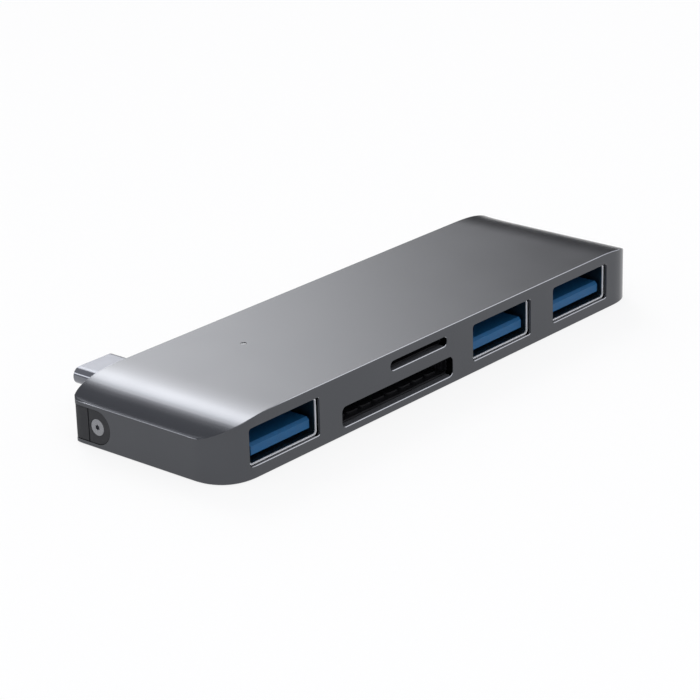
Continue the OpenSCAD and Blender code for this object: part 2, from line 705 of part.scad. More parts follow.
module usb_c_plug_shell() {
    color("silver") in_frame() translate([plug_x, 0, plug_z]) difference() {
        along_y(plug_root_y, hub_w + plug_out) plug_form(plug_w, plug_h);
        along_y(plug_root_y - 1, hub_w + plug_out + 1)
            plug_form(plug_w - 2 * plug_sheet, plug_h - 2 * plug_sheet);
    }
}

plug_pins = 12;
plug_pitch = 0.5;
plug_pin_w = 0.25;
plug_pin_t = 0.14;
plug_slot_h = 0.8;
function plug_pin_x(i) = (i - (plug_pins - 1) / 2) * plug_pitch;
module plug_pins_bars(grow, y0, y1) {
    for (s = [0, 1]) mirror([0, 0, s]) for (i = [0:plug_pins - 1])
        translate([plug_pin_x(i) - plug_pin_w / 2 - grow, y0, plug_slot_h / 2 - grow])
            cube([plug_pin_w + 2 * grow, y1 - y0, plug_pin_t + 2 * grow]);
}

module usb_c_plug_insert() {
    in_w = plug_w - 2 * plug_sheet - 0.06;
    in_h = plug_h - 2 * plug_sheet - 0.06;
    mouth = hub_w + plug_out - 0.3;
    color([0.1, 0.1, 0.11]) in_frame() translate([plug_x, 0, plug_z]) difference() {
        along_y(plug_root_y + 0.3, mouth) plug_form(in_w, in_h);
        translate([-6.8 / 2, mouth - 5, -plug_slot_h / 2]) cube([6.8, 6, plug_slot_h]);
        plug_pins_bars(0.02, plug_root_y, mouth - 0.6);
    }
}

module usb_c_plug_contacts() {
    color("gold") in_frame() translate([plug_x, 0, plug_z])
        plug_pins_bars(0, plug_root_y - 1.2, hub_w + plug_out - 1);
}

module plug_board() {
    color("darkgreen") in_frame()
        translate([plug_x - plug_board_w / 2, tray_y0 + 0.3, plug_board_z])
            cube([plug_board_w, plug_root_y - tray_y0 - 0.35, plug_board_t]);
}

flex_bend = 0.5;
flex_z = board_z - 0.6;
flex_end_z = plug_board_z - flex_t / 2 - 0.02;
module plug_flex() {
    turn_1 = [carrier_bay_y + 0.4, flex_z - flex_bend];
    low_z = flex_z - 1.6;
    turn_2 = [turn_1[0] + 2 * flex_bend, low_z];
    turn_3 = [turn_2[0] + 2 * flex_bend, flex_end_z - flex_bend];
    color("darkorange") in_frame() along_x(plug_x - flex_w / 2, plug_x + flex_w / 2) strip(concat(
        [[carrier_bay_y - 1.6, flex_z]],
        arc(turn_1, flex_bend, 90, 0), arc(turn_2, flex_bend, 180, 360), arc(turn_3, flex_bend, 180, 90),
        [[turn_3[0] + 1.8, flex_end_z]]
    ), flex_t);
}

module flex_connector() {
    color([0.85, 0.82, 0.74]) in_frame() difference() {
        translate([plug_x - flex_w / 2 - 0.7, carrier_bay_y - 2, flex_z - 0.4])
            cube([flex_w + 1.4, 1.9, board_z - flex_z + 0.4]);
        translate([plug_x - flex_w / 2 - 0.05, carrier_bay_y - 1.65, flex_z - flex_t / 2 - 0.02])
            cube([flex_w + 0.1, 3, flex_t + 0.04]);
    }
}

// Dark plate in the round end of the pocket. The screw draws it, the rail and the nut together
lock_head_t = 0.5;
module lock_plate() {
    flange_y0 = lock_y - pocket_h / 2 - 0.8;
    color([0.26, 0.27, 0.29]) in_frame() difference() {
        union() {
            intersection() {
                end_window(fit_gap, wall_t + 0.1);
                translate([face_recess, 0, 0]) cube([hub_l, seam_y, hub_h]);
            }
            translate([wall_t, flange_y0, cover_t + 0.05])
                cube([plate_flange_t, seam_y - 0.05 - flange_y0, ceiling_end_z - cover_t - 0.15]);
        }
        lock_screw_form(screw_gap);
    }
}

// Countersunk screw along +x, grown by its clearance when it is cut out
module lock_screw_form(grow) {
    translate([face_recess + 0.05, lock_y, lock_z]) rotate([0, 90, 0]) {
        if (grow > 0) translate([0, 0, -1]) cylinder(r = lock_head_d / 2 + grow, h = 1, $fn = 48);
        cylinder(r1 = lock_head_d / 2 + grow, r2 = lock_d / 2 + grow, h = lock_head_t, $fn = 48);
        translate([0, 0, lock_head_t / 2]) cylinder(r = lock_d / 2 + grow, h = nut_x0 + nut_t, $fn = 32);
    }
}

// Six-lobed socket of the screw
module star_socket(r, depth) {
    cylinder(r = r * 0.72, h = depth, $fn = 24);
    for (a = [0:60:300])
        rotate([0, 0, a]) translate([r * 0.72, 0, 0]) cylinder(r = r * 0.28, h = depth, $fn = 16);
}

module lock_screw() {
    color("silver") in_frame() difference() {
        intersection() {
            lock_screw_form(0);
            cube([nut_x0 + nut_t + 0.15, hub_w, hub_h]);
        }
        translate([face_recess - 0.9, lock_y, lock_z]) rotate([0, 90, 0]) star_socket(0.42, 1.3);
    }
}

module clamp_nut() {
    color("silver") in_frame() difference() {
        translate([nut_x0, lock_y - nut_w / 2, lock_z - nut_w / 2]) cube([nut_t, nut_w, nut_w]);
        translate([0, lock_y, lock_z]) rotate([0, 90, 0])
            cylinder(r = lock_d / 2 + screw_gap, h = 20, $fn = 32);
    }
}

// ---- Electronics on the top of the main board ----
module on_board(x, y) { in_frame() translate([x, y, board_top]) children(); }

// Flat square package with a lead frame edge
module flat_chip(w, h) {
    translate([-w / 2, -w / 2, 0]) cube([w, w, 0.25]);
    translate([-w / 2 + 0.12, -w / 2 + 0.12, 0.2]) cube([w - 0.24, w - 0.24, h - 0.2]);
}

// Places of the parts, set from the sockets that they serve
chip_row_y = inner_y1 - 5.8;
hub_chip_x = usb_2_x + 1.5;
hub_chip_w = 7;
card_chip_x = sd_x - 2.7;
card_chip_w = 5;
chip_h = 0.85;
crystal_size = [3.2, 2.5, 0.7];
capacitor_size = [1, 0.5, 0.5];
inductor_size = [2.5, 2, 1.2];
part_gap = 2;

module hub_chip() {
    color([0.15, 0.15, 0.16]) on_board(hub_chip_x, chip_row_y) flat_chip(hub_chip_w, chip_h);
}
module card_reader_chip() {
    color([0.15, 0.15, 0.16]) on_board(card_chip_x, chip_row_y) flat_chip(card_chip_w, chip_h);
}

// Box on the board, centred on its place
module board_box(size) { translate([-size[0] / 2, -size[1] / 2, 0]) cube(size); }

module crystals() {
    color("silver") {
        on_board(hub_chip_x - hub_chip_w / 2 - part_gap - crystal_size[0] / 2, chip_row_y)
            board_box(crystal_size);
        on_board(card_chip_x + card_chip_w / 2 + part_gap + crystal_size[0] / 2, chip_row_y)
            board_box(crystal_size);
    }
}

cap_step = 2.2;
module capacitors() {
    color("tan") {
        for (i = [0:4]) on_board(hub_chip_x + (i - 2) * cap_step, chip_row_y + hub_chip_w / 2 + 1.2)
            board_box(capacitor_size);
        for (i = [0:2]) on_board(card_chip_x + (i - 1) * cap_step, chip_row_y + card_chip_w / 2 + 1.3)
            board_box(capacitor_size);
        for (x = usb_xs)
            on_board(x - usb_cut_w / 2 + 1.6, usb_back + 2.4) rotate([0, 0, 90]) board_box(capacitor_size);
    }
}

module inductors() {
    color([0.3, 0.3, 0.32]) for (x = [usb_2_x + usb_cut_w / 2 + gap_3 / 2, usb_3_x + part_gap])
        on_board(x, usb_back + 3.8) board_box(inductor_size);
}

led_h = 0.55;
module led() {
    color("white") on_board(led_x, led_y) {
        translate([-0.8, -0.4, 0]) cube([1.6, 0.8, 0.25]);
        translate([-0.5, -0.4, 0.2]) cube([1, 0.8, led_h - 0.2]);
    }
}

module light_pipe() {
    pipe_d = led_hole_d - 0.08;
    color([0.9, 0.95, 1]) in_frame() translate([led_x, led_y, 0]) {
        translate([0, 0, board_top + led_h + 0.1])
            cylinder(d = 1.4, h = ceiling_z - board_top - led_h - 0.1, $fn = 24);
        translate([0, 0, ceiling_z - 0.6]) cylinder(d = 2.2, h = 0.6, $fn = 24);
        translate([0, 0, ceiling_z - 0.1]) cylinder(d = pipe_d, h = top_t + 0.02, $fn = 24);
    }
}

housing();
bottom_cover();
main_board();
board_screws();
usb_a_shell_1();
usb_a_shell_2();
usb_a_shell_3();
usb_a_tongue_1();
usb_a_tongue_2();
usb_a_tongue_3();
usb_a_contacts_1();
usb_a_contacts_2();
usb_a_contacts_3();
sd_socket_base();
sd_socket_shield();
sd_contacts();
microsd_base();
microsd_shield();
microsd_contacts();
plug_carrier();
usb_c_plug_shell();
usb_c_plug_insert();
usb_c_plug_contacts();
plug_board();
plug_flex();
flex_connector();
lock_plate();
lock_screw();
clamp_nut();
hub_chip();
card_reader_chip();
crystals();
capacitors();
inductors();
led();
light_pipe();
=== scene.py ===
"""USB-C hub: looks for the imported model. Metres, in the frame of the CAD."""
import json
import math

import bmesh
import bpy
from mathutils import Matrix, Vector


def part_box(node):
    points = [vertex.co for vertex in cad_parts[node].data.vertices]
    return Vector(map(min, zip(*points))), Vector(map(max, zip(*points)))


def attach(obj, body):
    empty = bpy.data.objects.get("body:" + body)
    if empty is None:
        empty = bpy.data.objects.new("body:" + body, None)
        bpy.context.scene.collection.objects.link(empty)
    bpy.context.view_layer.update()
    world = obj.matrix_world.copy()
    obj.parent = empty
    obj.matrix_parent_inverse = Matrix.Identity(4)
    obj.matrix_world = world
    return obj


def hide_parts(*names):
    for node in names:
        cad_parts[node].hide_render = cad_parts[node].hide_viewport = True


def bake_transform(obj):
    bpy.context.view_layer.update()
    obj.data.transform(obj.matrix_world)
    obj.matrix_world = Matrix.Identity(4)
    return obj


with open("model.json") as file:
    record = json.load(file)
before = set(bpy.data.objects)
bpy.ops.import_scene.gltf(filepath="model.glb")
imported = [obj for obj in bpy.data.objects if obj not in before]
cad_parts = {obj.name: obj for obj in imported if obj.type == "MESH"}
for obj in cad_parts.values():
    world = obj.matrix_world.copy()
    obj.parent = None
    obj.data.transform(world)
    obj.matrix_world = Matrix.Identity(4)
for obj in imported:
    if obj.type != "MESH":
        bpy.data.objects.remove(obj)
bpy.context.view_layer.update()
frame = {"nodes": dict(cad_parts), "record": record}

MM = 0.001
BODY_LO, BODY_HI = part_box("housing")
LENGTH, WIDTH, HEIGHT = (BODY_HI - BODY_LO) / MM

# ---- Sizes in millimetres, measured from the left end, the port face and the resting face ----
# Form of the body: the crease on each end, and the cap that curves from it to the flat top.
# The cap's foot leans by CAP_LEAN, which fades to nothing over the last CAP_LEAN_RUN at the back.
END_H = 6.18
CREASE = 0.07
CAP_RUN = 10.6
CAP_POWER = 2.73
CAP_ROOT = 0.476
CAP_LEAN = 0.22
CAP_LEAN_RUN = 4.0
FRONT_CORNER = 6.4
BACK_CORNER = 1.5
BACK_CORNER_IN = 0.4
LEAST_FRONT_CORNER = 0.8
LEAST_BACK_CORNER = 0.15
CORNER_POWER = 2.4
TOP_CHAMFER = 0.08
FOOT_CHAMFER = 0.08

# Walls of the housing. RIM_W is the wall round the base cover.
# The hollow's ends are INNER_END_DROP lower than the crease.
WALL = 1.2
ROOF = 0.9
COVER_T = 0.6
RIM_W = 0.6
INNER_END_DROP = 0.4

# Ports in the front wall: middle, size and corner of each. RIM_Y is where the sockets' rims stand.
USB_XS = (11.7, 59.6, 79.2)
USB_Z, USB_W, USB_H, USB_R = 4.55, 14.0, 5.55, 0.45
SD_X, SD_Z, SD_W, SD_H, SD_R = 35.6, 2.65, 24.5, 3.0, 0.8
USD_X, USD_Z, USD_W, USD_H = 40.2, 6.875, 12.7, 1.45
USD_R = USD_H / 2 - 0.02
PORT_CHAMFER = 0.05
PORT_LOWER_CHAMFER = 0.09
RIM_Y = 0.5

# Pocket of the plug carrier and its lock plate, and the lamp hole.
LOCK_Y, LOCK_Z = 24.0, 3.1
POCKET_H = 5.0
SEAM_Y = 25.55
NOSE_X0, NOSE_X1, NOSE_TOP, NOSE_R = 3.2, 18.6, 7.38, 1.6
LED_X, LED_Y, LED_D = 24.4, 19.0, 0.9

# How far a cutter reaches past what it cuts.
PAST = 1

# ---- Mesh density ----
# Stations closer than FIRST_STEP, or than STEP_GROWTH of their distance from the end, are dropped.
SHELL_STEPS = 26
INNER_STEPS = 6
RIM_STEPS = 8
FIRST_STEP = 0.006
STEP_GROWTH = 0.05
CAP_STEP_POWER = 1.9
TOP_ROWS = (0.08, 0.2, 0.5, 0.8, 0.9, 0.948, 0.958, 0.968, 0.978, 0.986, 0.993)
POCKET_STEPS = 32
NOSE_STEPS = 10
LED_SIDES = 40

# Angles in degrees above which an edge stays sharp in shading, or is broken.
SMOOTH_ANGLE = 28
BROKEN_ANGLE = 35

# ---- Looks ----
# Noise runs through its values mostly within this range.
NOISE_RANGE = (0.25, 0.75)
GRAIN_DETAIL = 3.0

# Colours of the painted highlight on the cut edges, of the top edge where that highlight has faded, of the
# painted highlight on the sockets' lips, the surroundings, the floor and the glows.
HIGHLIGHT_METAL = (0.62, 0.63, 0.66)
UNHIGHLIGHTED_METAL = (0.12, 0.124, 0.134)
PAINTED_LIP_HIGHLIGHT = (0.90, 0.91, 0.93)
SKY_TINT = (0.93, 0.94, 1)
FLOOR_GREY = (0.92, 0.92, 0.92)
WHITE = (1, 1, 1)

# Millimetres over which the top edge's painted highlight fades, and over which the painted highlight on the
# sockets' lips ends behind their rims.
EDGE_FADE = 8
LIP_HIGHLIGHT_FADE = (0.1, 0.25)

# Share of plain white in the floor as it is seen, and the floor's distance below the object in metres.
FLOOR_WHITE = 0.84
FLOOR_GAP = 0.0001


def at(x, y, z):
    """A place in metres from millimetres measured from the left end, the port face and the resting face."""
    return BODY_LO + Vector((x, y, z)) * MM


def in_mm(place, origin=BODY_LO):
    """The reverse of at: millimetres from the origin to a place in metres."""
    return (place - origin) / MM


def add_object(name, data):
    """A new object in the scene."""
    obj = bpy.data.objects.new(name, data)
    bpy.context.scene.collection.objects.link(obj)
    return obj


# ---- Node helpers ----
def new_material(name):
    """An empty node material: the material, its tree and its Principled shader."""
    mat = bpy.data.materials.new(name)
    mat.use_nodes = True
    tree = mat.node_tree
    return mat, tree, tree.nodes["Principled BSDF"]


def feed(tree, value, target):
    """Puts a plain value or the output of another node into an input."""
    if isinstance(value, bpy.types.NodeSocket):
        tree.links.new(value, target)
    else:
        target.default_value = value


def fill(tree, shader, color, metallic, rough):
    """Gives a shader its colour, metalness and roughness."""
    feed(tree, color, shader.inputs["Base Color"])
    feed(tree, metallic, shader.inputs["Metallic"])
    feed(tree, rough, shader.inputs["Roughness"])


def ramp(tree, source, start, end, low=0.0, high=1.0, kind="LINEAR"):
    """A value that goes from low to high while source goes from start to end."""
    node = tree.nodes.new("ShaderNodeMapRange")
    node.interpolation_type = kind
    node.inputs["From Min"].default_value = start
    node.inputs["From Max"].default_value = end
    node.inputs["To Min"].default_value = low
    node.inputs["To Max"].default_value = high
    tree.links.new(source, node.inputs["Value"])
    return node.outputs["Result"]


def operate(tree, operation, *values):
    """The result of a math operation."""
    node = tree.nodes.new("ShaderNodeMath")
    node.operation = operation
    for value, target in zip(values, node.inputs):
        feed(tree, value, target)
    return node.outputs[0]


def mix_colors(tree, factor, first, second):
    """The first colour where factor is 0 and the second where it is 1."""
    node = tree.nodes.new("ShaderNodeMix")
    node.data_type = "RGBA"
    feed(tree, factor, node.inputs["Factor"])
    feed(tree, first, node.inputs["A"])
    feed(tree, second, node.inputs["B"])
    return node.outputs["Result"]


def along(tree, space, axis):
    """One axis of a texture coordinate, such as X of Object or Z of Normal."""
    coords = tree.nodes.new("ShaderNodeTexCoord")
    parts = tree.nodes.new("ShaderNodeSeparateXYZ")
    tree.links.new(coords.outputs[space], parts.inputs["Vector"])
    return parts.outputs[axis]


def noise(tree, scale_mm, detail=2.0, stretch=(1, 1, 1)):
    """Noise with features of about scale_mm millimetres, fixed to the part."""
    coords = tree.nodes.new("ShaderNodeTexCoord")
    mapping = tree.nodes.new("ShaderNodeMapping")
    mapping.inputs["Scale"].default_value = [s / (scale_mm * MM) for s in stretch]
    tex = tree.nodes.new("ShaderNodeTexNoise")
    tex.inputs["Scale"].default_value = 1.0
    tex.inputs["Detail"].default_value = detail
    tree.links.new(coords.outputs["Object"], mapping.inputs["Vector"])
    tree.links.new(mapping.outputs["Vector"], tex.inputs["Vector"])
    return tex.outputs["Fac"]


def spread(tree, source, low, high):
    """Maps noise to values between low and high."""
    return ramp(tree, source, *NOISE_RANGE, low, high, "SMOOTHSTEP")


def tint(tree, source, dark, light):
    """Mixes two colours by noise."""
    return mix_colors(tree, spread(tree, source, 0, 1), (*dark, 1), (*light, 1))


def grain(tree, shader, size_mm, depth_um, stretch=(1, 1, 1)):
    """Fine relief in a surface, depth_um thousandths of a millimetre deep."""
    node = tree.nodes.new("ShaderNodeBump")
    node.inputs["Strength"].default_value = 1.0
    node.inputs["Distance"].default_value = depth_um * 1e-6
    tree.links.new(noise(tree, size_mm, GRAIN_DETAIL, stretch), node.inputs["Height"])
    tree.links.new(node.outputs["Normal"], shader.inputs["Normal"])


def surface(name, color, metallic, rough, vary, rough_vary, patch_mm, grain_mm, grain_um, specular=0.5):
    """A material with soft patches in its colour and gloss and a fine grain in its surface."""
    mat, tree, shader = new_material(name)
    patches = noise(tree, patch_mm)
    dark = [c * (1 - vary) for c in color]
    light = [c * (1 + vary) for c in color]
    varied_rough = spread(tree, patches, rough - rough_vary, rough + rough_vary)
    fill(tree, shader, tint(tree, patches, dark, light), metallic, varied_rough)
    shader.inputs["Specular IOR Level"].default_value = specular
    grain(tree, shader, grain_mm, grain_um)
    return mat


# ---- Metals ----
def grey_aluminium():
    """Bead-blasted, anodised aluminium of the housing."""
    return surface("grey_aluminium", (0.082, 0.085, 0.093), metallic=1.0, rough=0.24, vary=0.02,
                   rough_vary=0.015, patch_mm=9.0, grain_mm=0.22, grain_um=4.0)


def cut_edge_highlight():
    """Bare metal of the edges cut after anodising, brightened to paint the highlights along them."""
    return surface("cut_edge_highlight", HIGHLIGHT_METAL, metallic=1.0, rough=0.2, vary=0.02,
                   rough_vary=0.03, patch_mm=3.0, grain_mm=0.2, grain_um=0.3)


def lit_edge():
    """Bare metal of the top edge, brightened as a painted highlight that fades out into darker metal towards
    the anodised cap at its left end.
    """
    mat, tree, shader = new_material("lit_edge")
    start, end = at(FRONT_CORNER, 0, 0).x, at(FRONT_CORNER + EDGE_FADE, 0, 0).x
    fade = ramp(tree, along(tree, "Object", "X"), start, end, kind="SMOOTHSTEP")
    # Painted highlight, fading out along the edge towards its left end.
    color = mix_colors(tree, fade, (*UNHIGHLIGHTED_METAL, 1), (*HIGHLIGHT_METAL, 1))
    fill(tree, shader, color, metallic=1.0, rough=0.2)
    grain(tree, shader, size_mm=0.2, depth_um=0.3)
    return mat


def milled_cut():
    """Satin metal of the milled sills of the card slots."""
    return surface("milled_cut", (0.125, 0.13, 0.142), metallic=0.4, rough=0.45, vary=0.04,
                   rough_vary=0.04, patch_mm=1.5, grain_mm=0.15, grain_um=1.0)


def base_plate():
    """Anodised base cover."""
    return surface("base_plate", (0.095, 0.098, 0.106), metallic=1.0, rough=0.42, vary=0.03,
                   rough_vary=0.03, patch_mm=8.0, grain_mm=0.12, grain_um=1.5)


def steel_screw():
    """Bright screw steel."""
    return surface("steel_screw", (0.24, 0.245, 0.26), metallic=1.0, rough=0.28, vary=0.05,
                   rough_vary=0.05, patch_mm=0.4, grain_mm=0.08, grain_um=1.0)


def socket_steel():
    """Nickel-plated sheet of the sockets, with a painted highlight as a pale band along their rims, and
    painted shade with a painted blue reflection of the tongue inside.
    """
    mat, tree, shader = new_material("socket_steel")
    start, end = (at(0, RIM_Y + fade, 0).y for fade in LIP_HIGHLIGHT_FADE)
    depth = ramp(tree, along(tree, "Object", "Y"), start, end)
    # Painted shade inside the socket, tinged with a painted blue reflection of the tongue.
    inside = tint(tree, noise(tree, 1.5), dark=(0.07, 0.12, 0.155), light=(0.10, 0.17, 0.215))
    # Painted highlight: pale at the rim, fading into the painted shade behind it.
    color = mix_colors(tree, depth, (*PAINTED_LIP_HIGHLIGHT, 1), inside)
    metallic = ramp(tree, depth, 0, 1, low=0.1, high=1.0)
    rough = ramp(tree, depth, 0, 1, low=0.15, high=0.4)
    fill(tree, shader, color, metallic, rough)
    grain(tree, shader, size_mm=0.25, depth_um=0.8, stretch=(1, 0.1, 1))
    return mat


def plug_steel():
    """Nickel-plated steel of the plug, satin on its two flats and polished round its edges."""
    mat, tree, shader = new_material("plug_steel")
    upright = operate(tree, "ABSOLUTE", along(tree, "Normal", "Z"))
    rough = ramp(tree, upright, start=0.85, end=0.98, low=0.12, high=0.42)
    color = tint(tree, noise(tree, 2.0), dark=(0.175, 0.181, 0.200), light=(0.190, 0.196, 0.217))
    fill(tree, shader, color, 1.0, rough)
    grain(tree, shader, size_mm=0.3, depth_um=0.5, stretch=(0.1, 1, 1))
    return mat


def gold():
    """Thin gold over nickel."""
    return surface("gold", (0.72, 0.47, 0.15), metallic=1.0, rough=0.25, vary=0.08,
                   rough_vary=0.06, patch_mm=0.6, grain_mm=0.1, grain_um=0.6)


def crystal_can():
    """Bright metal can of the crystals."""
    return surface("crystal_can", (0.60, 0.60, 0.58), metallic=1.0, rough=0.22, vary=0.04,
                   rough_vary=0.05, patch_mm=0.8, grain_mm=0.2, grain_um=0.6)


# ---- Plastics and board parts ----
def black_plastic():
    """Moulded black plastic of the card sockets."""
    return surface("black_plastic", (0.012, 0.012, 0.014), metallic=0.0, rough=0.42, vary=0.15,
                   rough_vary=0.06, patch_mm=1.0, grain_mm=0.1, grain_um=2.0)


def carrier_plastic():
    """Fine-grained dark plastic of the plug carrier."""
    return surface("carrier_plastic", (0.022, 0.023, 0.026), metallic=0.0, rough=0.5, vary=0.06,
                   rough_vary=0.05, patch_mm=1.5, grain_mm=0.12, grain_um=4.0, specular=0.25)


def blue_plastic():
    """Blue moulded tongue."""
    return surface("blue_plastic", (0.011, 0.101, 0.245), metallic=0.0, rough=0.5, vary=0.06,
                   rough_vary=0.05, patch_mm=1.2, grain_mm=0.1, grain_um=2.0, specular=0.25)


def blue_edge_highlight():
    """Lighter blue on the tongue's broken edges: a painted highlight."""
    return surface("blue_edge_highlight", (0.045, 0.19, 0.36), metallic=0.0, rough=0.4, vary=0.06,
                   rough_vary=0.05, patch_mm=1.2, grain_mm=0.1, grain_um=1.0)


def ivory_plastic():
    """Ivory plastic of the ribbon connector."""
    return surface("ivory_plastic", (0.66, 0.62, 0.50), metallic=0.0, rough=0.5, vary=0.04,
                   rough_vary=0.05, patch_mm=1.0, grain_mm=0.1, grain_um=2.0)


def flex_film():
    """Amber polyimide film."""
    return surface("flex_film", (0.32, 0.12, 0.02), metallic=0.0, rough=0.3, vary=0.1,
                   rough_vary=0.05, patch_mm=1.0, grain_mm=0.3, grain_um=2.0)


def green_board():
    """Solder mask over glass cloth."""
    return surface("green_board", (0.012, 0.075, 0.032), metallic=0.0, rough=0.35, vary=0.2,
                   rough_vary=0.05, patch_mm=1.2, grain_mm=0.3, grain_um=6.0)


def chip_epoxy():
    """Black epoxy of the chips."""
    return surface("chip_epoxy", (0.020, 0.020, 0.022), metallic=0.0, rough=0.6, vary=0.15,
                   rough_vary=0.06, patch_mm=0.5, grain_mm=0.06, grain_um=4.0)


def capacitor_ceramic():
    """Brown ceramic of the capacitors."""
    return surface("capacitor_ceramic", (0.25, 0.15, 0.075), metallic=0.0, rough=0.45, vary=0.1,
                   rough_vary=0.05, patch_mm=0.4, grain_mm=0.05, grain_um=2.0)


def inductor_ferrite():
    """Dark ferrite of the inductors."""
    return surface("inductor_ferrite", (0.050, 0.050, 0.052), metallic=0.0, rough=0.65, vary=0.1,
                   rough_vary=0.05, patch_mm=0.5, grain_mm=0.08, grain_um=6.0)


def led_white():
    """White body of the lamp."""
    return surface("led_white", (0.80, 0.78, 0.70), metallic=0.0, rough=0.4, vary=0.03,
                   rough_vary=0.05, patch_mm=0.3, grain_mm=0.05, grain_um=1.0)


def clear_pipe():
    """Clear moulded light pipe."""
    mat = surface("clear_pipe", (0.62, 0.64, 0.66), metallic=0.0, rough=0.25, vary=0.03,
                  rough_vary=0.03, patch_mm=0.5, grain_mm=0.08, grain_um=0.6)
    mat.node_tree.nodes["Principled BSDF"].inputs["Transmission Weight"].default_value = 0.6
    return mat


MATERIALS = {make.__name__: make() for make in (
    grey_aluminium, cut_edge_highlight, lit_edge, milled_cut, base_plate, green_board, steel_screw, black_plastic,
    socket_steel, carrier_plastic, plug_steel, gold, blue_plastic, blue_edge_highlight, flex_film, ivory_plastic,
    chip_epoxy, crystal_can, capacitor_ceramic, inductor_ferrite, led_white, clear_pipe)}


# ---- Mesh helpers ----
def mesh_object(name, bm, material):
    """A new object from a bmesh, with its material."""
    data = bpy.data.meshes.new(name)
    bm.to_mesh(data)
    bm.free()
    data.materials.append(material)
    return add_object(name, data)


def weave(bm, lines):
    """Faces between neighbouring lines of corners."""
    for this, following in zip(lines, lines[1:]):
        for k in range(len(this) - 1):
            bm.faces.new((this[k], following[k], following[k + 1], this[k + 1]))


def loft(rings):
    """A closed form through rings of places, with both ends closed."""
    bm = bmesh.new()
    loops = [[bm.verts.new(p) for p in ring] for ring in rings]
    for lower, upper in zip(loops, loops[1:]):
        for i in range(len(lower)):
            j = (i + 1) % len(lower)
            bm.faces.new((lower[i], lower[j], upper[j], upper[i]))
    bm.faces.new(loops[0])
    bm.faces.new(loops[-1])
    bmesh.ops.recalc_face_normals(bm, faces=bm.faces)
    return bm


def shade(obj, angle):
    """Smooth shading with sharp edges above angle, and flat faces kept flat."""
    data = obj.data
    data.polygons.foreach_set("use_smooth", [True] * len(data.polygons))
    data.set_sharp_from_angle(angle=math.radians(angle))
    weighted = obj.modifiers.new("weighted", "WEIGHTED_NORMAL")
    weighted.keep_sharp = True


def cut(obj, cutters):
    """Takes the cutters out of obj, one after another."""
    for bm in cutters:
        tool = mesh_object("cutter", bm, MATERIALS["grey_aluminium"])
        mod = obj.modifiers.new("cut", "BOOLEAN")
        mod.object = tool
        mod.operation = "DIFFERENCE"
        mod.solver = "EXACT"
        shape = bpy.data.meshes.new_from_object(obj.evaluated_get(bpy.context.evaluated_depsgraph_get()))
        obj.modifiers.clear()
        old = obj.data
        obj.data = shape
        bpy.data.meshes.remove(old)
        bpy.data.objects.remove(tool)


# ---- Housing ----
def cap_height(d, low, high, crease, lean):
    """Height of the cap at distance d from an end, with a small chamfer at its foot.

    The foot stands upright where lean is 0, and leans further in the larger lean is."""
    if d < crease:
        return low - crease + max(d, 0)
    full = CAP_RUN - crease

    def curve(left):
        return (1 - (left / (full + lean)) ** CAP_POWER) ** CAP_ROOT

    start = curve(full)
    return low + (high - low) * (curve(full - min(d - crease, full)) - start) / (1 - start)


def corner(d, rx, ry):
    """Set-back of a soft corner at distance d from the end, and its inward normal."""
    if d >= rx:
        return 0.0, Vector((0, 1))
    u = 1 - d / rx
    v = (1 - u ** CORNER_POWER) ** (1 / CORNER_POWER)
    return ry * (1 - v), Vector((u ** (CORNER_POWER - 1) / rx, v ** (CORNER_POWER - 1) / ry)).normalized()


def stations(corner_sizes, crease, steps):
    """Distances from an end that follow the corners and the cap, closest together at the end."""
    fixed = {0.0, crease, CAP_RUN, *corner_sizes}
    ds = set(fixed)
    for i in range(1, steps):
        u = math.cos(math.pi / 2 * i / steps) ** (2 / CORNER_POWER)
        ds |= {size * (1 - u) for size in corner_sizes}
        ds.add(crease + (CAP_RUN - crease) * (i / steps) ** CAP_STEP_POWER)
    kept = []
    for d in sorted(ds):
        if not kept or d in fixed or d - kept[-1] > max(FIRST_STEP, STEP_GROWTH * d):
            kept.append(d)
    return kept


